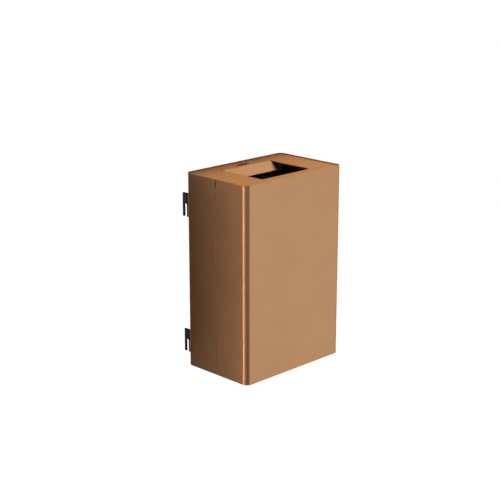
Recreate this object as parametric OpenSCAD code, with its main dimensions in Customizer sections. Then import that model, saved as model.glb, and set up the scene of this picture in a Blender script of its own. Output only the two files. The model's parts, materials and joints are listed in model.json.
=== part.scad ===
// Wall-hung ashtray and litter bin of folded steel sheet.
// X runs to the right as seen from the front, Y towards the wall and Z up.
// The wall is the plane Y = 0, and the underside of the body is Z = 0.

/* [Body] */
// Width of the body across its sides
body_w = 302; // [300:1:340]
// Depth of the body from front panel to back panel
body_d = 192; // [190:1:200]
// Height of the body
body_h = 450; // [440:10:560]
// Outside radius of the upright corners
corner_r = 14; // [12:1:16]
// Depth of the front door from the front panel to the seam in the sides
door_d = 96.5; // [94:0.5:98]
// Gap between the door and the rear half at the seam
seam_gap = 0.5; // [0.4:0.1:0.8]
// Width of the upright key slit at the top of each seam
slit_w = 3; // [1.8:0.2:3]
// Length of the key slit
slit_l = 16.5; // [12:0.5:18]

/* [Top plate] */
// Depth of the top plate below the rim of the body
top_recess = 2; // [1:0.5:2.5]
// Width of the litter opening
inlet_w = 153; // [140:1:180]
// Depth of the litter opening from front to back
inlet_d = 122.5; // [110:0.5:126]
// Distance from the front panel to the litter opening
inlet_front = 28.5; // [28:0.5:34]
// Length of the stub-out flap folded down from the back of the opening
flap_l = 31; // [26:1:34]
// Slope of the flap below the horizontal
flap_angle = 33; // [25:1:36]
// Length of the cigarette slot across the plate
slot_w = 34; // [24:1:40]
// Width of the cigarette slot from front to back
slot_d = 10; // [8:0.5:12]

/* [Wall hooks] */
// Distance from the wall to the back panel, which is the depth of the hooks
standoff = 26; // [24:1:34]
// Height of each hook plate
hook_h = 54; // [50:1:60]
// Height of the lower edge of the lower hooks
hook_z = 23; // [20:1:30]
// Height between the lower hooks and the upper hooks
hook_pitch = 321; // [300:1:330]
// Width of the slot that drops over a wall rail
hook_slot_w = 8.5; // [8:0.5:10]
// Length of the slot
hook_slot_l = 30; // [26:1:34]

/* [Inside] */
// Height of the litter liner
liner_h = 384; // [340:2:384]
// Height of the ash box
ash_h = 130; // [90:5:150]

/* [Hidden] */
$fn = 64;

sheet = 2;                                // thickness of the painted sheet
eps = 0.01;
copper = [0.62, 0.40, 0.25];
black = [0.07, 0.07, 0.07];
zinc = [0.62, 0.64, 0.66];
anthracite = [0.13, 0.14, 0.15];

// Fasteners: radius of the shank, the clearance hole and the head, and height of the head
m3 = [1.5, 1.75, 3, 2];
m5 = [2.4, 2.75, 4.6, 3];
m6 = [3, 3.3, 5.2, 3.3];
rivet = [1, 1.1, 1.8, 1.5];
m5_flats = 8;
m6_flats = 10;
nut_fit = 0.05;                           // play between a shank and its nut

// Faces of the body
side_x = body_w / 2;
in_x = side_x - sheet;
back_y = -standoff;
front_y = back_y - body_d;
in_back = back_y - sheet;
in_front = front_y + sheet;
seam_y = front_y + door_d;
slit_z = body_h - 2.5 - slit_l;

// Door hinge, low down behind the front panel
hinge_y = in_front + 10;
hinge_z = 6;
rod_r = 3;
tilt_max = 28;

// Top plate
top_z = body_h - top_recess;
top_x = in_x - sheet;                     // the gap round the plate is one sheet wide
top_front = in_front + sheet;
top_back = in_back - sheet;
top_r = corner_r - 2 * sheet;
skirt_z = top_z - 16;
bend_y = front_y + inlet_front + inlet_d; // line on which the flap is folded down
slot_y = bend_y + 15.5;
sleeve_t = 1.2;                           // sheet of the sleeve below the cigarette slot
sleeve_h = 13;
relief = [4, 7];                          // notch at each end of the flap's bend
rail_z = top_z - 9;                       // height of the bolts through the rear rail
tab_y = seam_y + 9.7;                     // middle of the tabs that hang from the side skirts
tab_half = 5;
tab_z = top_z - 38;
tab_bolt_z = tab_z + 8;

// Seam backing strips
jamb_z0 = 24;
jamb_z1 = slit_z - 1;
jamb_front = seam_y - 11;
jamb_back = seam_y + 15;
jamb_gap = 0.4;                           // clearance between strip and door

// Floor parts
base_z = 2;
base_front = hinge_y + 8;
tray_z = 14;
tray_back = bend_y - 5;
bumper_gap = 0.3;

// Hinge forks, measured from the middle
fork_in = 110;
ear_x = 118;
fork_out = 126;
ear_t = 3;

// Door stays: flat bars bent on a circle round the hinge
stay_r0 = 160;
stay_r1 = 176;
stay_rm = (stay_r0 + stay_r1) / 2;
stay_x = in_x - 7.5;
stay_t = 2.5;
stay_tail = 12.5;
stay_head = 86;
stay_holes = [68, 82];
guide_a0 = 44.5;
guide_a1 = 50;
stop_a = guide_a0 - tilt_max - 1.6;
stop_r = 3;
stud_r = 3;
guide_wall = 4;
guide_holes = [stay_r0 - 2.3, stay_r1 + 2.3];
play = 0.6;                               // clearance between stay and guide

// Magnetic catches
striker_gap = 0.3;
magnet_z0 = jamb_z1 - 46;
magnet_h = 40;
magnet_y = jamb_front - 0.5;
magnet_d = 12;
magnet_x = in_x - 12;
magnet_holes = [8, magnet_h - 8];
strip_in = in_x - jamb_gap - sheet;       // inner face of the strip's front lip

// Hooks
plate_t = 4;
hook_x = side_x - corner_r;               // outer face of the hook plates
foot_w = 30;
hook_leg = 5;
bolt_x = hook_x - 17;
bolt_dz = 16;

// Containers
liner_x = in_x - 19;
liner_wall = 1.5;
liner_front = in_front + 4;
liner_back = bend_y - 8.5;
liner_z = tray_z + sheet;
liner_r = 10;
rim_w = 3;
ash_x = 112;
ash_front = bend_y + 2.5;
ash_back = in_back - 8;
ash_wall = 1.2;
ash_top = skirt_z - 17.5;
hanger_x = 70;
hanger_w = 24;

// A plan outline with four round corners
module round_rect(x, y0, y1, r) {
    translate([-x + r, y0]) square([2 * (x - r), y1 - y0]);
    translate([-x, y0 + r]) square([2 * x, y1 - y0 - 2 * r]);
    for (cx = [-x + r, x - r], cy = [y0 + r, y1 - r])
        translate([cx, cy]) circle(r);
}

// The wall of a tube with round corners, in plan
module round_ring(x, y0, y1, r, t) {
    difference() {
        round_rect(x, y0, y1, r);
        round_rect(x - t, y0 + t, y1 - t, r - t);
    }
}

// A box between two corners
module box(low, high) {
    translate(low) cube(high - low);
}

// Extrudes an outline drawn in Y and Z along X
module along_x(x0, length) {
    translate([x0, 0, 0]) rotate([90, 0, 90]) linear_extrude(length) children();
}

// A round bar along X, Y or Z
module bar_x(x0, x1, y, z, r) {
    translate([x0, y, z]) rotate([0, 90, 0]) cylinder(r = r, h = x1 - x0);
}
module bar_y(y0, y1, x, z, r) {
    translate([x, y1, z]) rotate([90, 0, 0]) cylinder(r = r, h = y1 - y0);
}
module bar_z(z0, z1, x, y, r) {
    translate([x, y, z0]) cylinder(r = r, h = z1 - z0);
}

// The right-hand piece, or its mirror image on the left
module on_side(s) {
    if (s > 0) children();
    else mirror([1, 0, 0]) children();
}

// A sector of a flat ring round the hinge, drawn in Y and Z
module hinge_sector(r0, r1, a0, a1) {
    far = 2 * r1;
    translate([hinge_y, hinge_z]) intersection() {
        difference() {
            circle(r1, $fn = 128);
            circle(r0, $fn = 128);
        }
        polygon([
            [0, 0], far * [cos(a0), sin(a0)], far * [cos((a0 + a1) / 2), sin((a0 + a1) / 2)],
            far * [cos(a1), sin(a1)]
        ]);
    }
}

// Sizes of a fastener
function shank(m) = m[0];
function hole(m) = m[1];
function head_r(m) = m[2];
function head_h(m) = m[3];

// Place on the hinge circle at an angle above the horizontal
function on_stay(a, r = stay_rm) = [hinge_y + r * cos(a), hinge_z + r * sin(a)];

// The key slit at both seams
module key_slits() {
    box([-side_x - 1, seam_y - slit_w / 2, slit_z], [side_x + 1, seam_y + slit_w / 2, slit_z + slit_l]);
}

// Where the hooks are bolted on: every combination of side, hook and bolt
hook_bolt_places = [
    for (s = [-1, 1], z = [hook_z, hook_z + hook_pitch], dz = [-bolt_dz, bolt_dz])
        [s * bolt_x, z + hook_h / 2 + dz]
];
rail_bolt_places = [for (x = [-90, 0, 90]) [x, rail_z]];

// ---- Rear half, which hangs on the wall ----

module rear_shell() {
    color(copper) difference() {
        linear_extrude(body_h) difference() {
            round_ring(side_x, front_y, back_y, corner_r, sheet);
            translate([-side_x - 1, front_y - 1]) square([body_w + 2, door_d + seam_gap / 2 + 1]);
        }
        key_slits();
        for (p = hook_bolt_places) bar_y(in_back - 1, back_y + 1, p[0], p[1], hole(m6));
        for (p = rail_bolt_places) bar_y(in_back - 1, back_y + 1, p[0], p[1], hole(m5));
    }
}

module base_plate() {
    ear_top = 5.5;
    color(copper) difference() {
        union() {
            box([-in_x, seam_y + 3.5, base_z], [in_x, in_back, base_z + sheet]);
            box([-in_x + 3, base_front, base_z], [in_x - 3, seam_y + 4, base_z + sheet]);
            box([-in_x + corner_r, in_back - sheet, base_z], [in_x - corner_r, in_back, 16]);
            for (s = [-1, 1]) on_side(s) {
                box([in_x - sheet, seam_y + 3.5, base_z], [in_x, in_back - corner_r, 16]);
                along_x(ear_x, ear_t) {
                    translate([hinge_y, hinge_z]) circle(ear_top);
                    translate([hinge_y, base_z + sheet / 2]) square([21, hinge_z + ear_top - base_z - 1]);
                }
            }
        }
        linear_extrude(base_z + sheet + 1) difference() {
            translate([-side_x, in_back - corner_r]) square([body_w, corner_r + 1]);
            round_rect(in_x, front_y, in_back, corner_r - sheet);
        }
        for (s = [-1, 1]) on_side(s) {
            bar_x(ear_x - 1, ear_x + ear_t + 1, hinge_y, hinge_z, rod_r + 0.05);
            for (y = [-150, -60]) bar_z(0, 10, 60, y, 4);
        }
    }
}

// A strip welded inside the rear half that backs the seam and steps in behind the door
module jamb(s) {
    b = in_x - jamb_gap;
    color(copper) on_side(s) difference() {
        translate([0, 0, jamb_z0]) linear_extrude(jamb_z1 - jamb_z0) polygon([
            [in_x, jamb_back], [in_x, seam_y + 4], [b, seam_y + 3], [b, jamb_front],
            [b - sheet, jamb_front], [b - sheet, seam_y + 3.4], [in_x - sheet, seam_y + 4.4],
            [in_x - sheet, jamb_back]
        ]);
        bar_x(in_x - 5, in_x + 1, tab_y, tab_bolt_z, shank(m5) + 0.1);
        for (z = magnet_holes)
            bar_x(in_x - 5, in_x + 1, magnet_y + magnet_d / 2, magnet_z0 + z, shank(m3) + 0.1);
    }
}

module top_rail() {
    color(copper) difference() {
        box([-105, in_back - sheet, rail_z - 6], [105, in_back, rail_z + 6]);
        for (p = rail_bolt_places) bar_y(in_back - 3, in_back + 1, p[0], p[1], hole(m5));
    }
}

module top_plate() {
    flap_x = inlet_w / 2 - 2;
    inlet_y = front_y + inlet_front;
    color(copper) difference() {
        union() {
            translate([0, 0, top_z - sheet]) linear_extrude(sheet) difference() {
                round_rect(top_x, top_front, top_back, top_r);
                round_rect(inlet_w / 2, inlet_y, bend_y, 4);
                translate([-inlet_w / 2, bend_y - 10]) square([inlet_w, 10]);
                round_rect(slot_w / 2, slot_y - slot_d / 2, slot_y + slot_d / 2, 2);
                for (s = [-1, 1])
                    translate([s * (flap_x + 1) - relief[0] / 2, bend_y - 1]) square(relief);
            }
            translate([0, 0, skirt_z]) linear_extrude(top_z - sheet - skirt_z + eps)
                round_ring(top_x, top_front, top_back, top_r, sheet);
            translate([0, bend_y, top_z]) rotate([flap_angle, 0, 0])
                box([-flap_x, -flap_l, -sheet], [flap_x, 0, 0]);
            for (s = [-1, 1]) on_side(s)
                box([top_x - sheet, tab_y - tab_half, tab_z], [top_x, tab_y + tab_half, skirt_z + 1]);
        }
        for (s = [-1, 1]) on_side(s)
            bar_x(top_x - 5, top_x + 1, tab_y, tab_bolt_z, hole(m5));
        for (p = rail_bolt_places) bar_y(top_back - 4, top_back + 1, p[0], p[1], hole(m5));
    }
}

// A short sleeve below the cigarette slot
module slot_sleeve() {
    half_w = slot_w / 2 + sleeve_t + 0.3;
    half_d = slot_d / 2 + sleeve_t + 0.3;
    color(black) translate([0, 0, top_z - sheet - sleeve_h]) linear_extrude(sleeve_h)
        round_ring(half_w, slot_y - half_d, slot_y + half_d, 3, sleeve_t);
}

// Bolts from the back through panel, rail and skirt
module top_plate_bolts() {
    color(zinc) for (p = rail_bolt_places) {
        bar_y(back_y, back_y + head_h(m5), p[0], p[1], head_r(m5));
        bar_y(top_back - sheet - 6, back_y + eps, p[0], p[1], shank(m5));
    }
}

module nut(y0, x, z, bore, flats, height) {
    difference() {
        translate([x, y0 + height, z]) rotate([90, 0, 0])
            cylinder(r = flats / sqrt(3), h = height, $fn = 6);
        bar_y(y0 - 1, y0 + height + 1, x, z, bore);
    }
}

module top_plate_nuts() {
    color(zinc) for (p = rail_bolt_places)
        nut(top_back - sheet - 4, p[0], p[1], shank(m5) + nut_fit, m5_flats, 4);
}

// Short screws that hold the tabs of the top plate to the seam strips
module top_plate_screws() {
    color(zinc) for (s = [-1, 1]) on_side(s) {
        bar_x(top_x - sheet - head_h(m5), top_x - sheet, tab_y, tab_bolt_z, head_r(m5));
        bar_x(top_x - sheet - eps, in_x - 0.1, tab_y, tab_bolt_z, shank(m5));
    }
}

// A hook plate with a foot that is bolted to the back panel
module hook(s, z) {
    color(black) on_side(s) difference() {
        union() {
            box([hook_x - plate_t, back_y, z], [hook_x, 0, z + hook_h]);
            box([hook_x - foot_w, back_y, z], [hook_x, back_y + plate_t, z + hook_h]);
        }
        box([hook_x - 5, -hook_leg - hook_slot_w, z - 1], [hook_x + 1, -hook_leg, z + hook_slot_l - 1.5]);
        along_x(hook_x - 5, 6) intersection() {
            translate([-hook_leg - hook_slot_w / 2, z + hook_slot_l - hook_slot_w / 2])
                circle(hook_slot_w / 2);
            translate([-hook_leg - hook_slot_w, z]) square([hook_slot_w, hook_slot_l]);
        }
        for (dz = [-bolt_dz, bolt_dz])
            bar_y(back_y - 1, back_y + plate_t + 1, bolt_x, z + hook_h / 2 + dz, hole(m6));
    }
}

module hook_bolts() {
    color(zinc) for (p = hook_bolt_places) difference() {
        union() {
            bar_y(back_y + plate_t, back_y + plate_t + head_h(m6), p[0], p[1], head_r(m6));
            bar_y(in_back - 7, back_y + plate_t + eps, p[0], p[1], shank(m6));
        }
        translate([p[0], back_y + plate_t + head_h(m6) + 1, p[1]]) rotate([90, 0, 0])
            cylinder(r = 2.3, h = 3.2, $fn = 6);
    }
}

module hook_nuts() {
    color(zinc) for (p = hook_bolt_places) nut(in_back - 5, p[0], p[1], shank(m6) + nut_fit, m6_flats, 5);
}

// Magnet housings on the seam strips
module magnet(s) {
    color(black) on_side(s) difference() {
        box([magnet_x, magnet_y, magnet_z0], [strip_in, magnet_y + magnet_d, magnet_z0 + magnet_h]);
        for (z = magnet_holes)
            bar_x(magnet_x - 1, strip_in + 1, magnet_y + magnet_d / 2, magnet_z0 + z, hole(m3));
    }
}

module magnet_screws() {
    color(zinc) for (s = [-1, 1], z = magnet_holes) on_side(s) {
        bar_x(magnet_x - head_h(m3), magnet_x, magnet_y + magnet_d / 2, magnet_z0 + z, head_r(m3));
        bar_x(magnet_x - eps, in_x - 0.5, magnet_y + magnet_d / 2, magnet_z0 + z, shank(m3));
    }
}

// A block with a curved channel that the stay slides through
module stay_guide(s) {
    color(black) on_side(s) difference() {
        along_x(stay_x - guide_wall, in_x - stay_x + guide_wall)
            hinge_sector(stay_r0 - guide_wall, stay_r1 + guide_wall, guide_a0, guide_a1);
        along_x(stay_x - play, stay_t + 2 * play)
            hinge_sector(stay_r0 - play, stay_r1 + play, guide_a0 - 3, guide_a1 + 3);
        for (r = guide_holes)
            bar_x(stay_x - 5, in_x + 1, on_guide(r)[0], on_guide(r)[1], hole(rivet));
    }
}
function on_guide(r) = on_stay((guide_a0 + guide_a1) / 2, r);

module guide_screws() {
    head_x = stay_x - guide_wall;
    color(zinc) for (s = [-1, 1], r = guide_holes) on_side(s) {
        bar_x(head_x - head_h(rivet), head_x, on_guide(r)[0], on_guide(r)[1], head_r(rivet));
        bar_x(head_x - eps, in_x - 0.1, on_guide(r)[0], on_guide(r)[1], shank(rivet));
    }
}

module hinge_rod() {
    color(zinc) bar_x(-fork_out - 8, fork_out + 8, hinge_y, hinge_z, rod_r);
}

module hinge_clips() {
    color(zinc) for (s = [-1, 1]) on_side(s) difference() {
        bar_x(fork_out + 3.5, fork_out + 5, hinge_y, hinge_z, 5.5);
        bar_x(fork_out + 3, fork_out + 6, hinge_y, hinge_z, rod_r);
    }
}

// Rubber buffers that the closed door's tray comes down on
module base_bumpers() {
    color(black) for (x = [-100, 100]) bar_z(base_z + sheet, tray_z - bumper_gap, x, tray_back - 18, 7);
}

// A bracket with an upright tongue that the ash box hangs on
module ash_hanger(x) {
    tongue_y = in_back - 5.2;
    z0 = ash_top - 25;
    color(zinc) {
        box([x - hanger_w / 2, in_back - 1.5, z0], [x + hanger_w / 2, in_back, z0 + 12]);
        box([x - hanger_w / 2, tongue_y - 1.5, z0], [x + hanger_w / 2, in_back - 1.5 + eps, z0 + 1.5]);
        box([x - hanger_w / 2, tongue_y - 1.5, z0],
            [x + hanger_w / 2, tongue_y, ash_top - ash_wall - 0.2]);
    }
}

// ---- Front door, which tilts forward on the hinge rod ----

module front_shell() {
    color(copper) difference() {
        linear_extrude(body_h) intersection() {
            round_ring(side_x, front_y, back_y, corner_r, sheet);
            translate([-side_x - 1, front_y - 1]) square([body_w + 2, door_d - seam_gap / 2 + 1]);
        }
        key_slits();
    }
}

module door_tray() {
    color(copper) difference() {
        union() {
            box([-in_x + 5, in_front, tray_z], [in_x - 5, tray_back, tray_z + sheet]);
            box([-in_x + corner_r, in_front, tray_z], [in_x - corner_r, in_front + sheet, tray_z + 40]);
            box([-120, tray_back - sheet, tray_z], [120, tray_back, tray_z + sheet + 12]);
            for (s = [-1, 1]) on_side(s) {
                box([in_x - 6, front_y + 17, tray_z], [in_x, seam_y - 20, tray_z + sheet]);
                box([in_x - sheet, front_y + 17, tray_z], [in_x, seam_y - 20, tray_z + 26]);
                for (x = [fork_in, fork_out]) along_x(x, ear_t) {
                    translate([hinge_y, hinge_z]) circle(6);
                    translate([hinge_y - 6, hinge_z]) square([12, tray_z - hinge_z + 1]);
                }
            }
        }
        for (s = [-1, 1]) on_side(s) {
            bar_x(fork_in - 1, fork_out + ear_t + 1, hinge_y, hinge_z, rod_r + 0.08);
            for (y = [-110, -180]) bar_z(tray_z - 1, tray_z + 5, 70, y, 4);
            translate([in_x - corner_r, in_front - 1, tray_z - 1]) cube([corner_r, 5, sheet + 2]);
        }
    }
}

// A flat bar bent round the hinge that limits how far the door tilts
module stay(s) {
    color(zinc) on_side(s) difference() {
        along_x(stay_x, stay_t) hinge_sector(stay_r0, stay_r1, stay_tail, stay_head);
        for (a = stay_holes)
            bar_x(stay_x - 1, stay_x + 5, on_stay(a)[0], on_stay(a)[1], stud_r + nut_fit);
        bar_x(stay_x - 1, stay_x + 5, on_stay(stop_a)[0], on_stay(stop_a)[1], stop_r - 0.95);
    }
}

// Shouldered studs welded inside the door
module stay_studs() {
    color(zinc) for (s = [-1, 1], a = stay_holes) on_side(s) {
        bar_x(stay_x + stay_t, in_x, on_stay(a)[0], on_stay(a)[1], 5);
        bar_x(stay_x - 5, stay_x + stay_t + eps, on_stay(a)[0], on_stay(a)[1], stud_r);
    }
}

module stay_nuts() {
    color(zinc) for (s = [-1, 1], a = stay_holes) on_side(s) difference() {
        translate([stay_x - 4, on_stay(a)[0], on_stay(a)[1]]) rotate([0, 90, 0])
            cylinder(r = m6_flats / sqrt(3), h = 4, $fn = 6);
        bar_x(stay_x - 5, stay_x + 1, on_stay(a)[0], on_stay(a)[1], stud_r + nut_fit);
    }
}

// Pins at the tail of each stay that meet the guide when the door is fully tilted
module stay_stop_pins() {
    color(zinc) for (s = [-1, 1]) on_side(s) {
        bar_x(stay_x - 3, stay_x, on_stay(stop_a)[0], on_stay(stop_a)[1], stop_r);
        bar_x(stay_x - eps, stay_x + stay_t + eps, on_stay(stop_a)[0], on_stay(stop_a)[1], stop_r - 1);
        bar_x(stay_x + stay_t, stay_x + stay_t + 3, on_stay(stop_a)[0], on_stay(stop_a)[1], stop_r);
    }
}

// An angle welded inside the door that closes on the magnet
module striker(s) {
    y1 = magnet_y - striker_gap;
    color(copper) on_side(s) {
        box([in_x - sheet, y1 - 20, magnet_z0], [in_x, y1, magnet_z0 + magnet_h]);
        box([magnet_x, y1 - sheet, magnet_z0], [in_x - sheet + eps, y1, magnet_z0 + magnet_h]);
    }
}

// ---- Containers ----

module liner() {
    z1 = liner_z + liner_h;
    color(anthracite) difference() {
        union() {
            translate([0, 0, liner_z]) linear_extrude(z1 - liner_z)
                round_rect(liner_x, liner_front, liner_back, liner_r);
            translate([0, 0, z1 - liner_wall]) linear_extrude(liner_wall)
                round_rect(liner_x + rim_w, liner_front - rim_w, liner_back + rim_w, liner_r + rim_w);
        }
        translate([0, 0, liner_z + liner_wall]) linear_extrude(liner_h)
            round_rect(liner_x - liner_wall, liner_front + liner_wall, liner_back - liner_wall,
                liner_r - liner_wall);
        along_x(-liner_x - 1, 2 * liner_x + 2) translate([(liner_front + liner_back) / 2, z1 - 30]) {
            square([56, 26], center = true);
            for (s = [-1, 1]) translate([s * 28, 0]) circle(13);
        }
    }
}

module ash_box() {
    z0 = ash_top - ash_h;
    lip_y = in_back - 3;
    color(zinc) {
        difference() {
            translate([0, 0, z0]) linear_extrude(ash_h) round_rect(ash_x, ash_front, ash_back, 4);
            translate([0, 0, z0 + ash_wall]) linear_extrude(ash_h)
                round_rect(ash_x - ash_wall, ash_front + ash_wall, ash_back - ash_wall, 4 - ash_wall);
        }
        box([-ash_x + 6, ash_back - ash_wall / 2, ash_top - ash_wall], [ash_x - 6, lip_y, ash_top]);
        box([-ash_x + 6, lip_y - ash_wall, ash_top - 10], [ash_x - 6, lip_y, ash_top - ash_wall + eps]);
    }
}

rear_shell();
base_plate();
jamb(-1);  // left_jamb
jamb(1);  // right_jamb
top_rail();
top_plate();
top_plate_bolts();
top_plate_nuts();
top_plate_screws();
slot_sleeve();
hook(-1, hook_z + hook_pitch);  // upper_left_hook
hook(1, hook_z + hook_pitch);  // upper_right_hook
hook(-1, hook_z);  // lower_left_hook
hook(1, hook_z);  // lower_right_hook
hook_bolts();
hook_nuts();
magnet(-1);  // left_magnet
magnet(1);  // right_magnet
magnet_screws();
stay_guide(-1);  // left_stay_guide
stay_guide(1);  // right_stay_guide
guide_screws();
hinge_rod();
hinge_clips();
base_bumpers();
ash_hanger(-hanger_x);  // left_ash_hanger
ash_hanger(hanger_x);  // right_ash_hanger
front_shell();
door_tray();
stay(-1);  // left_stay
stay(1);  // right_stay
stay_studs();
stay_nuts();
stay_stop_pins();
striker(-1);  // left_striker
striker(1);  // right_striker
liner();
ash_box();
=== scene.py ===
"""Looks of the wall-hung ashtray bin.

Refined sheet-metal pieces, fasteners, liner and finishes, with the set, its light and the camera.
"""
import json
import math

import bmesh
import bpy
from mathutils import Matrix, Vector


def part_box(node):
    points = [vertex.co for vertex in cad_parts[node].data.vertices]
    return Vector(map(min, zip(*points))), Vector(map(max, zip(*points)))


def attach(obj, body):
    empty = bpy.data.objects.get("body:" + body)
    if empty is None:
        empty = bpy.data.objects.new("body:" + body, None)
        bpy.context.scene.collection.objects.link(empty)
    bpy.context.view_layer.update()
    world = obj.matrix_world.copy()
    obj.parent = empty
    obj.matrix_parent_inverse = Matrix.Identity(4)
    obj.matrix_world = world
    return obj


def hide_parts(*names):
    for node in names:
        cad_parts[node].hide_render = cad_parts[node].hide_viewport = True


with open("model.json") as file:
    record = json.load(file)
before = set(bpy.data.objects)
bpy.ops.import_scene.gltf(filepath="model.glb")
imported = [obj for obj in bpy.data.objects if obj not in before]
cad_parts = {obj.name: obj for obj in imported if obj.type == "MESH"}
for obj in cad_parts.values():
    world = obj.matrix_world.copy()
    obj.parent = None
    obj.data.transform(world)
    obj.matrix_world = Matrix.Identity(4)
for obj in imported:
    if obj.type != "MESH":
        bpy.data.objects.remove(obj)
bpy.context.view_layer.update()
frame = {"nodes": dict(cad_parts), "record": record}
NODES = frame["nodes"]
BODY_OF = {n: b for b, members in frame["record"]["behaviour"]["bodies"].items() for n in members}
SLOT_OF = {s["node"]: s["material_slot"] for s in frame["record"]["subparts"]}
MM = 0.001
JOIN = 0.002 * MM           # split vertices of a CAD mesh lie closer than this
FLAT = math.radians(0.5)    # faces that turn by less are merged into one
SHARP = math.radians(30.0)  # edges that turn by more are rounded
X_AXIS, Y_AXIS = 0, 1


# ---------------------------------------------------------------- materials

def srgb(r, g, b):
    """Colour for a shader socket from 0-255 display values."""
    return tuple((v / 255 / 12.92) if v / 255 <= 0.04045 else ((v / 255 + 0.055) / 1.055) ** 2.4
                 for v in (r, g, b)) + (1.0,)


class Shader:
    """A Principled material with small helpers for its nodes."""

    def __init__(self, name):
        self.mat = bpy.data.materials.new(name)
        self.mat.use_nodes = True
        self.tree = self.mat.node_tree
        self.bsdf = self.tree.nodes["Principled BSDF"]
        self.coord = self.add("ShaderNodeTexCoord").outputs["Object"]

    def add(self, kind, **settings):
        node = self.tree.nodes.new(kind)
        for key, value in settings.items():
            setattr(node, key, value)
        return node

    def link(self, a, b):
        self.tree.links.new(a, b)

    def stretched(self, scale):
        node = self.add("ShaderNodeMapping")
        node.inputs["Scale"].default_value = scale
        self.link(self.coord, node.inputs["Vector"])
        return node.outputs["Vector"]

    def noise(self, scale, detail=3.0, rough=0.55, stretch=None):
        node = self.add("ShaderNodeTexNoise")
        node.inputs["Scale"].default_value = scale
        node.inputs["Detail"].default_value = detail
        node.inputs["Roughness"].default_value = rough
        self.link(self.stretched(stretch) if stretch else self.coord, node.inputs["Vector"])
        return node.outputs["Fac"]

    def cells(self, scale, stretch=None):
        node = self.add("ShaderNodeTexVoronoi")
        node.inputs["Scale"].default_value = scale
        self.link(self.stretched(stretch) if stretch else self.coord, node.inputs["Vector"])
        return node

    def ramp(self, fac, stops):
        node = self.add("ShaderNodeValToRGB")
        band = node.color_ramp
        while len(band.elements) < len(stops):
            band.elements.new(0.5)
        for element, (pos, value) in zip(band.elements, stops):
            element.position = pos
            element.color = value if isinstance(value, tuple) else (value, value, value, 1.0)
        self.link(fac, node.inputs["Fac"])
        return node.outputs["Color"]

    def mix(self, fac, a, b, mode="MIX"):
        node = self.add("ShaderNodeMix", data_type="RGBA", blend_type=mode)
        for value, socket in ((fac, node.inputs[0]), (a, node.inputs[6]), (b, node.inputs[7])):
            if isinstance(value, (int, float, tuple)):
                socket.default_value = value
            else:
                self.link(value, socket)
        return node.outputs[2]

    def bump(self, height, strength, distance, under=None):
        node = self.add("ShaderNodeBump")
        node.inputs["Strength"].default_value = strength
        node.inputs["Distance"].default_value = distance
        self.link(height, node.inputs["Height"])
        if under is not None:
            self.link(under, node.inputs["Normal"])
        return node.outputs["Normal"]

    def edges(self, radius, low, high):
        """1 on convex and concave edges, 0 on flats."""
        bevel = self.add("ShaderNodeBevel", samples=4)
        bevel.inputs["Radius"].default_value = radius
        here = self.add("ShaderNodeNewGeometry").outputs["Normal"]
        dot = self.add("ShaderNodeVectorMath", operation="DOT_PRODUCT")
        self.link(bevel.outputs["Normal"], dot.inputs[0])
        self.link(here, dot.inputs[1])
        span = self.add("ShaderNodeMapRange")
        span.inputs["From Min"].default_value = high
        span.inputs["From Max"].default_value = low
        self.link(dot.outputs["Value"], span.inputs["Value"])
        return span.outputs["Result"]

    def set(self, **values):
        for key, value in values.items():
            socket = self.bsdf.inputs[key.replace("_", " ")]
            if isinstance(value, (int, float, tuple)):
                socket.default_value = value
            else:
                self.link(value, socket)
        return self.mat


def powder_coat(name, base, light, dark, bare, metallic, rough, edge_tint=(1.0, 1.0, 1.0, 1.0)):
    """Fine textured powder coat with metal flake, cloudiness, and paler worn edges."""
    s = Shader(name)
    cloud = s.ramp(s.noise(9.0, 4.0), [(0.2, dark), (0.5, base), (0.8, light)])
    flake = s.cells(2600.0)
    speck = s.ramp(flake.outputs["Distance"], [(0.0, 1.0), (0.5, 0.9), (1.0, 0.8)])
    colour = s.mix(0.5, cloud, speck, "MULTIPLY")
    worn = s.edges(0.7 * MM, 0.9, 0.995)
    patch = s.ramp(s.noise(140.0, 5.0, 0.65), [(0.46, 0.0), (0.66, 0.6)])
    wear = s.mix(1.0, worn, patch, "MULTIPLY")
    colour = s.mix(wear, colour, bare)
    gloss = s.ramp(s.noise(30.0, 5.0, 0.6), [(0.3, rough - 0.02), (0.7, rough + 0.02)])
    peel = s.bump(s.noise(420.0, 3.0), 0.35, 0.16 * MM)
    fine = s.bump(s.noise(1500.0, 3.0), 0.5, 0.12 * MM, peel)
    return s.set(Base_Color=colour, Metallic=metallic, Roughness=gloss, Normal=fine,
                 Specular_Tint=edge_tint, Specular_IOR_Level=0.3)


def zinc(name, tint, rough):
    """Bright zinc plating with fine drawn lines and cloudy passivation."""
    s = Shader(name)
    cloud = s.ramp(s.noise(60.0, 5.0), [(0.3, srgb(*[v * 0.82 for v in tint])), (0.55, srgb(*tint)),
                                        (0.8, srgb(*[min(255, v * 1.08) for v in tint]))])
    lines = s.noise(800.0, 4.0, 0.6, (1.0, 1.0, 0.04))
    gloss = s.ramp(s.noise(200.0, 4.0), [(0.3, rough - 0.08), (0.7, rough + 0.12)])
    return s.set(Base_Color=cloud, Metallic=1.0, Roughness=gloss,
                 Normal=s.bump(lines, 0.25, 0.03 * MM))


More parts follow.
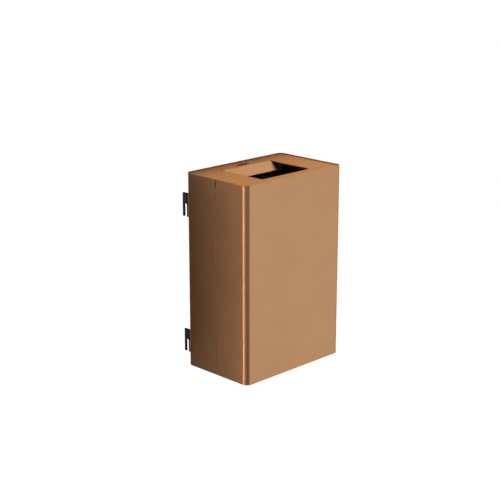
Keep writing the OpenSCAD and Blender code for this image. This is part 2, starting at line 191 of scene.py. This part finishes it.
def galvanised(name):
    """Hot-dip galvanised sheet with its spangle."""
    s = Shader(name)
    spangle = s.cells(150.0)
    tone = s.add("ShaderNodeSeparateColor")
    s.link(spangle.outputs["Color"], tone.inputs["Color"])
    colour = s.ramp(tone.outputs["Red"], [(0.0, srgb(154, 158, 163)), (0.5, srgb(163, 167, 172)),
                                          (1.0, srgb(174, 178, 183))])
    dirt = s.ramp(s.noise(14.0, 6.0, 0.65), [(0.45, 1.0), (0.75, 0.72)])
    colour = s.mix(0.8, colour, dirt, "MULTIPLY")
    gloss = s.ramp(tone.outputs["Green"], [(0.0, 0.38), (1.0, 0.47)])
    return s.set(Base_Color=colour, Metallic=0.9, Roughness=gloss,
                 Normal=s.bump(s.noise(500.0, 4.0), 0.2, 0.05 * MM))


def moulded(name, tint, rough, grain):
    """Moulded plastic or rubber with a fine spark-eroded grain."""
    s = Shader(name)
    colour = s.ramp(s.noise(40.0, 4.0), [(0.3, srgb(*[v * 0.8 for v in tint])),
                                         (0.7, srgb(*[v * 1.25 for v in tint]))])
    gloss = s.ramp(s.noise(150.0, 4.0), [(0.3, rough - 0.06), (0.7, rough + 0.06)])
    return s.set(Base_Color=colour, Roughness=gloss, Normal=s.bump(s.noise(2500.0, 3.0), grain, 0.04 * MM))


COPPER = srgb(185, 142, 103)
FINISH = {
    "copper_paint": powder_coat("copper_paint", COPPER, srgb(187, 144, 105), srgb(182, 139, 100),
                                srgb(216, 184, 152), 0.82, 0.35, edge_tint=srgb(205, 160, 120)),
    # Black paint also finishes the slot sleeve, where its black stands in for the shade inside the
    # cigarette slot: painted shade.
    "black_paint": powder_coat("black_paint", srgb(12, 12, 13), srgb(22, 22, 24), srgb(8, 8, 9),
                               srgb(70, 70, 72), 0.0, 0.58),
    "zinc_plate": zinc("zinc_plate", (186, 188, 192), 0.32),
    "galvanised": galvanised("galvanised"),
    "black_plastic": moulded("black_plastic", (26, 26, 27), 0.5, 0.3),
    "bumper_rubber": moulded("bumper_rubber", (20, 20, 20), 0.7, 0.4),
}


# ---------------------------------------------------------------- pieces

def settle_normals(mesh, spread_deg=35.0):
    """Weights each corner's normal by face area, so flat sheet stays flat beside its rounded edges."""
    limit = math.cos(math.radians(spread_deg))
    around = [[] for _ in mesh.vertices]
    for face in mesh.polygons:
        for v in face.vertices:
            around[v].append(face)
    normals = []
    for face in mesh.polygons:
        for v in face.vertices:
            total = Vector()
            for other in around[v]:
                if other.normal.dot(face.normal) > limit:
                    total += other.normal * other.area
            normals.append(total.normalized())
    mesh.normals_split_custom_set(normals)


def publish(bm, name, node):
    """Turns a bmesh into a piece that stands for a CAD node and rides on its body."""
    mesh = bpy.data.meshes.new(name)
    bm.to_mesh(mesh)
    bm.free()
    obj = bpy.data.objects.new(name, mesh)
    bpy.context.scene.collection.objects.link(obj)
    mesh.shade_smooth()
    settle_normals(mesh)
    mesh.materials.append(FINISH[SLOT_OF[node]])
    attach(obj, BODY_OF[node])
    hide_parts(node)


def cad_bmesh(node):
    """The CAD node's mesh with its split vertices joined and its flat faces merged."""
    bm = bmesh.new()
    bm.from_mesh(NODES[node].data)
    bmesh.ops.remove_doubles(bm, verts=bm.verts, dist=JOIN)
    bmesh.ops.dissolve_limit(bm, angle_limit=FLAT, verts=bm.verts, edges=bm.edges, delimit={"NORMAL"})
    return bm


def soften(bm, width, segments=3, above=-1.0):
    """Rounds every sharp edge that lies wholly above a height; the default is below the whole bin."""
    picked = [e for e in bm.edges if e.is_manifold and e.calc_face_angle(0) > SHARP
              and min(v.co.z for v in e.verts) > above]
    bmesh.ops.bevel(bm, geom=picked, offset=width, offset_type="OFFSET", segments=segments,
                    profile=0.5, affect="EDGES", clamp_overlap=False)
    return bm


def solids(node):
    """The low and high corner of each separate solid in a node."""
    bm = bmesh.new()
    bm.from_mesh(NODES[node].data)
    bmesh.ops.remove_doubles(bm, verts=bm.verts, dist=JOIN)
    seen, corners = set(), []
    for start in bm.verts:
        if start in seen:
            continue
        seen.add(start)
        queue, points = [start], []
        while queue:
            v = queue.pop()
            points.append(v.co.copy())
            for edge in v.link_edges:
                other = edge.other_vert(v)
                if other not in seen:
                    seen.add(other)
                    queue.append(other)
        corners.append((Vector([min(c[k] for c in points) for k in range(3)]),
                        Vector([max(c[k] for c in points) for k in range(3)])))
    bm.free()
    return corners


# Turned and threaded parts are skins of rings round a local Z axis.
TURN = 36              # points in a ring
RINGS_PER_PITCH = 4
THREAD_DEPTH = 0.4     # of the pitch
RUN_OUT = 3.0          # a thread fades in and out over its length divided by this


def turned(bm, place, rings, bored=False):
    """Joins rings into one closed skin; a bored one joins its first ring to its last.

    A ring is a height and a radius, or a height and a function that gives the radius at an angle.
    """
    loops = []
    for height, radius in rings:
        angles = [2 * math.pi * i / TURN for i in range(TURN)]
        reach = [radius(a) if callable(radius) else radius for a in angles]
        loops.append([bm.verts.new(place @ Vector((r * math.cos(a), r * math.sin(a), height)))
                      for a, r in zip(angles, reach)])
    pairs = list(zip(loops, loops[1:]))
    if bored:
        pairs.append((loops[-1], loops[0]))
    else:
        bm.faces.new(loops[0])
        bm.faces.new(loops[-1])
    for low, high in pairs:
        for i in range(TURN):
            j = (i + 1) % TURN
            bm.faces.new((low[i], low[j], high[j], high[i]))


def hexagon(half_flats, twist=0.0, limit=1.0):
    """Radius of a hexagon at each angle, cut off by a circle at limit."""
    def radius(a):
        return min(limit, half_flats / math.cos((a + twist) % (math.pi / 3) - math.pi / 6))
    return radius


def thread_rings(start, end, shank, pitch, depth):
    """Rings of a helical thread that runs out smoothly at both ends."""
    count = max(2, round((end - start) / pitch * RINGS_PER_PITCH))
    rings = []
    for i in range(count + 1):
        z = start + (end - start) * i / count
        fade = min(1.0, RUN_OUT * min(i, count - i) / count)

        def radius(a, z=z, fade=fade):
            turn = (z / pitch - a / (2 * math.pi)) % 1.0
            return shank - fade * depth * abs(2 * turn - 1)
        rings.append((z, radius))
    return rings


def button_head(r, h):
    """A domed head with a hexagon socket, from its underside up and then down into the socket."""
    dome = [(h * (0.3 + 0.7 * math.sin(t)), r * (0.6 + 0.4 * math.cos(t)))
            for t in [math.pi / 2 * i / 6 for i in range(7)]]
    key = 0.42 * r
    return [(0.0, r * 0.94), (h * 0.06, r)] + dome + [
        (h, key * 1.22), (h * 0.94, hexagon(key)), (h * 0.45, hexagon(key)), (h * 0.36, key * 0.5)]


def flange_head(r, h):
    """A plain flange with broken edges."""
    return [(0.0, r * 0.93), (h * 0.08, r), (h * 0.92, r), (h, r * 0.93)]


def facing(axis, sign, origin):
    """Places a turned part with its local Z along a row axis."""
    direction = Vector([sign if k == axis else 0.0 for k in range(3)])
    turn = Vector((0, 0, 1)).rotation_difference(direction).to_matrix().to_4x4()
    return Matrix.Translation(origin) @ turn


def screws(node, axis, towards, head, head_h, shank, pitch, style=button_head):
    """Rebuilds every screw of a node: towards says which way its head looks."""
    bm = bmesh.new()
    for low, high in solids(node):
        middle = (low + high) / 2
        sign = {"out_of_wall": 1.0, "inwards": -math.copysign(1.0, middle[axis]),
                "outwards": math.copysign(1.0, middle[axis])}[towards]
        origin = middle.copy()
        origin[axis] = high[axis] - head_h if sign > 0 else low[axis] + head_h
        length = high[axis] - low[axis] - head_h
        tip = [(-length, shank * 0.72), (-length + 0.28 * shank, shank * 0.97)]
        body = thread_rings(-length + 0.3 * shank, -0.3 * MM, shank, pitch, THREAD_DEPTH * pitch)
        turned(bm, facing(axis, sign, origin), tip + body + [(0.0, shank)] + style(head, head_h))
    bmesh.ops.recalc_face_normals(bm, faces=bm.faces)
    publish(bm, node + "_piece", node)


def nuts(node, axis, flats, bore):
    """Rebuilds every nut of a node as a hexagon with chamfered corners and a bore with broken edges."""
    bm = bmesh.new()
    for low, high in solids(node):
        middle = (low + high) / 2
        t = high[axis] - low[axis]
        origin = middle.copy()
        origin[axis] = low[axis]
        place = facing(axis, 1.0, origin)
        across = place.to_3x3() @ Vector((1, 0, 0))
        size = high - low
        along_local_x = sum(abs(across[k]) * size[k] for k in range(3))
        twist = 0.0 if along_local_x > flats * 1.05 else math.pi / 6
        half, corner = flats / 2, flats / math.sqrt(3)
        cut, lip = (corner - half) * 0.6, 0.3 * MM
        face, side = hexagon(half, twist, half * 0.98), hexagon(half, twist, corner)
        turned(bm, place, [(0.0, bore + lip), (0.0, face), (cut, side), (t - cut, side), (t, face),
                           (t, bore + lip), (t - lip, bore), (lip, bore)], bored=True)
    bmesh.ops.recalc_face_normals(bm, faces=bm.faces)
    publish(bm, node + "_piece", node)


def buffers(node):
    """Turned rubber buffers with a waist and a rounded top."""
    bm = bmesh.new()
    for low, high in solids(node):
        r, h = (high.x - low.x) / 2, high.z - low.z
        crown = [(h * (0.8 + 0.2 * math.sin(t)), r * (0.75 + 0.23 * math.cos(t)))
                 for t in [math.pi / 2 * i / 5 for i in range(6)]]
        place = Matrix.Translation(((low.x + high.x) / 2, (low.y + high.y) / 2, low.z))
        turned(bm, place, [(0.0, r * 0.97), (h * 0.04, r), (h * 0.22, r), (h * 0.32, r * 0.88),
                           (h * 0.5, r * 0.84), (h * 0.68, r * 0.9)] + crown)
    bmesh.ops.recalc_face_normals(bm, faces=bm.faces)
    publish(bm, node + "_piece", node)


# How far each sheet or machined piece's edges are rounded, in mm.
SOFT_EDGE = {
    "rear_shell": 0.3, "front_shell": 0.3, "top_plate": 0.2, "base_plate": 0.25, "door_tray": 0.25,
    "left_jamb": 0.2, "right_jamb": 0.2, "top_rail": 0.3, "left_magnet": 0.5, "right_magnet": 0.5,
    "left_stay_guide": 0.15, "right_stay_guide": 0.15, "left_stay": 0.3, "right_stay": 0.3,
    "slot_sleeve": 0.2, "left_striker": 0.3, "right_striker": 0.3,
    "left_ash_hanger": 0.25, "right_ash_hanger": 0.25,
    "upper_left_hook": 0.4, "upper_right_hook": 0.4, "lower_left_hook": 0.4, "lower_right_hook": 0.4,
    "hinge_rod": 0.4, "hinge_clips": 0.2, "ash_box": 0.2, "stay_stop_pins": 0.2,
}
for node, width in SOFT_EDGE.items():
    publish(soften(cad_bmesh(node), width * MM), node + "_piece", node)

# Liner: the edges of its rim are rounded more than the others, and first.
LINER_RIM_T = 1.5 * MM
rim_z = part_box("liner")[1][2] - LINER_RIM_T - 0.1 * MM
liner = soften(cad_bmesh("liner"), 0.7 * MM, segments=4, above=rim_z)
publish(soften(liner, 0.3 * MM), "liner_piece", "liner")

screws("hook_bolts", Y_AXIS, "out_of_wall", 5.2 * MM, 3.3 * MM, 3.0 * MM, 1.0 * MM)
screws("top_plate_bolts", Y_AXIS, "out_of_wall", 4.6 * MM, 3.0 * MM, 2.4 * MM, 0.8 * MM)
screws("top_plate_screws", X_AXIS, "inwards", 4.6 * MM, 3.0 * MM, 2.4 * MM, 0.8 * MM)
screws("magnet_screws", X_AXIS, "inwards", 3.0 * MM, 2.0 * MM, 1.5 * MM, 0.7 * MM)
screws("guide_screws", X_AXIS, "inwards", 1.8 * MM, 1.5 * MM, 1.0 * MM, 0.5 * MM)
screws("stay_studs", X_AXIS, "outwards", 5.0 * MM, 5.0 * MM, 3.0 * MM, 1.0 * MM, flange_head)
nuts("hook_nuts", Y_AXIS, 10 * MM, 3.05 * MM)
nuts("top_plate_nuts", Y_AXIS, 8 * MM, 2.45 * MM)
nuts("stay_nuts", X_AXIS, 10 * MM, 3.05 * MM)
buffers("base_bumpers")


# ---------------------------------------------------------------- stage

ONE_QUAD = [(0, 1, 2, 3)]


def surface(name, corners, faces, material):
    """A mesh of the set, which isn't part of the object."""
    mesh = bpy.data.meshes.new(name)
    mesh.from_pydata(corners, [], faces)
    mesh.materials.append(material)
    obj = bpy.data.objects.new(name, mesh)
    bpy.context.scene.collection.objects.link(obj)
    return obj


def stage_paint(name, level, glow):
    """A nearly even grey of its own level, with a white glow on top."""
    s = Shader(name)
    tone = s.ramp(s.noise(3.0, 3.0), [(0.3, level * 0.99), (0.7, level)])
    return s.set(Base_Color=tone, Roughness=0.9, Emission_Color=(1.0, 1.0, 1.0, 1.0),
                 Emission_Strength=glow)


def backdrop(name, radius, low, high, material, sides=96):
    """An upright wall all round the set, so every view has the same pale ground behind it."""
    ring = [(radius * math.cos(2 * math.pi * i / sides), radius * math.sin(2 * math.pi * i / sides))
            for i in range(sides)]
    corners = [(x, y, low) for x, y in ring] + [(x, y, high) for x, y in ring]
    faces = [(i, (i + 1) % sides, (i + 1) % sides + sides, i + sides) for i in range(sides)]
    return surface(name, corners, faces, material)


# The floor glows so that it reads as white paper; it gives the bin no light, reflection or shadow.
FLOOR_Z, FLOOR_REACH = -0.55, 20
BACKDROP_R, BACKDROP_TOP = 19.0, 20.0
floor_paint = stage_paint("floor_paint", 0.06, 1.02)
floor = surface("floor", [(x * FLOOR_REACH, y * FLOOR_REACH, FLOOR_Z)
                          for x, y in ((-1, -1), (1, -1), (1, 1), (-1, 1))], ONE_QUAD, floor_paint)
for ground in (floor, backdrop("backdrop", BACKDROP_R, FLOOR_Z, BACKDROP_TOP, floor_paint)):
    ground.visible_glossy = False
    ground.visible_diffuse = False
    ground.visible_shadow = False

# The wall it hangs on is only there for its light: it isn't seen, and it is open behind the bin.
wall_paint = stage_paint("wall_paint", 0.4, 0.0)
HOLE_X, HOLE_LO, HOLE_HI = 0.145, 0.01, 0.44
WALL_X, WALL_Y, WALL_LO, WALL_HI = 4, 0.002, -2, 2.2
for name, x0, x1, z0, z1 in (("wall_left", -WALL_X, -HOLE_X, WALL_LO, WALL_HI),
                             ("wall_right", HOLE_X, WALL_X, WALL_LO, WALL_HI),
                             ("wall_above", -HOLE_X, HOLE_X, HOLE_HI, WALL_HI),
                             ("wall_below", -HOLE_X, HOLE_X, WALL_LO, HOLE_LO)):
    outline = [(x0, WALL_Y, z0), (x0, WALL_Y, z1), (x1, WALL_Y, z1), (x1, WALL_Y, z0)]
    wall = surface(name, outline, ONE_QUAD, wall_paint)
    wall.visible_camera = False


WATTS = 4.0  # per square metre of a light whose glow is 1


def softbox(name, at, target, size, glow, colour=(1.0, 1.0, 1.0)):
    """A soft rectangular light; glow is its brightness, whatever its size."""
    light = bpy.data.lights.new(name, "AREA")
    light.shape = "RECTANGLE"
    light.size, light.size_y = size
    light.energy = glow * WATTS * size[0] * size[1]
    light.color = colour
    obj = bpy.data.objects.new(name, light)
    obj.location = at
    obj.rotation_euler = (Vector(target) - Vector(at)).to_track_quat("-Z", "Y").to_euler()
    obj.visible_camera = False
    bpy.context.scene.collection.objects.link(obj)


# Name, place, aim, size, glow and colour; the wall glows stand for light that comes off the wall.
WARM = (1.0, 0.78, 0.74)
MILD = (1.0, 0.98, 0.99)
softbox("key", (0.95, -1.75, 0.0), (0.0, -0.2, 0.2), (2.6, 2.6), 0.9)
softbox("fill", (-1.6, -2.3, 0.2), (0.0, -0.2, 0.2), (1.0, 2.0), 0.36)
softbox("left_strip", (-1.6, -0.6, 0.1), (-0.15, -0.2, 0.2), (0.5, 2.2), 0.42)
softbox("right_strip", (2.2, -0.5, 0.1), (0.15, -0.2, 0.2), (0.9, 2.2), 0.8)
softbox("wall_glow_left", (-1.26, -0.005, 0.1), (-1.26, -1.0, 0.1), (1.36, 2.4), 3.4, WARM)
softbox("wall_glow_right", (1.1, -0.005, 0.1), (1.1, -1.0, 0.1), (1.36, 2.4), 1.2)
softbox("wall_glow_top", (0.0, -0.005, 0.97), (0.0, -1.0, 0.97), (1.6, 1.0), 0.88, MILD)
softbox("top", (1.0, -0.4, 2.0), (0.0, -0.12, 0.4), (1.6, 1.2), 0.88)
softbox("back", (0.0, 1.2, 0.25), (0.0, 0.0, 0.22), (1.6, 1.6), 2.0)

world = bpy.data.worlds.new("studio")
world.use_nodes = True
surround = world.node_tree.nodes["Background"].inputs
surround["Color"].default_value = (1.0, 0.98, 0.96, 1.0)
surround["Strength"].default_value = 0.09
bpy.context.scene.world = world
bpy.context.scene.view_settings.view_transform = "Standard"

# The camera that fits the outline of the body in the photograph best without any lens shift.
CAM_AT = (-1.9696, -2.0570, 1.0645)
CAM_DOWN, CAM_YAW = 16.23, -44.83
cam = bpy.data.cameras.new("camera")
cam.lens = 91.37
cam.sensor_width = 36.0
cam.clip_end = 100.0
cam_obj = bpy.data.objects.new("camera", cam)
cam_obj.location = CAM_AT
cam_obj.rotation_euler = (math.radians(90 - CAM_DOWN), 0.0, math.radians(CAM_YAW))
bpy.context.scene.collection.objects.link(cam_obj)
bpy.context.scene.camera = cam_obj
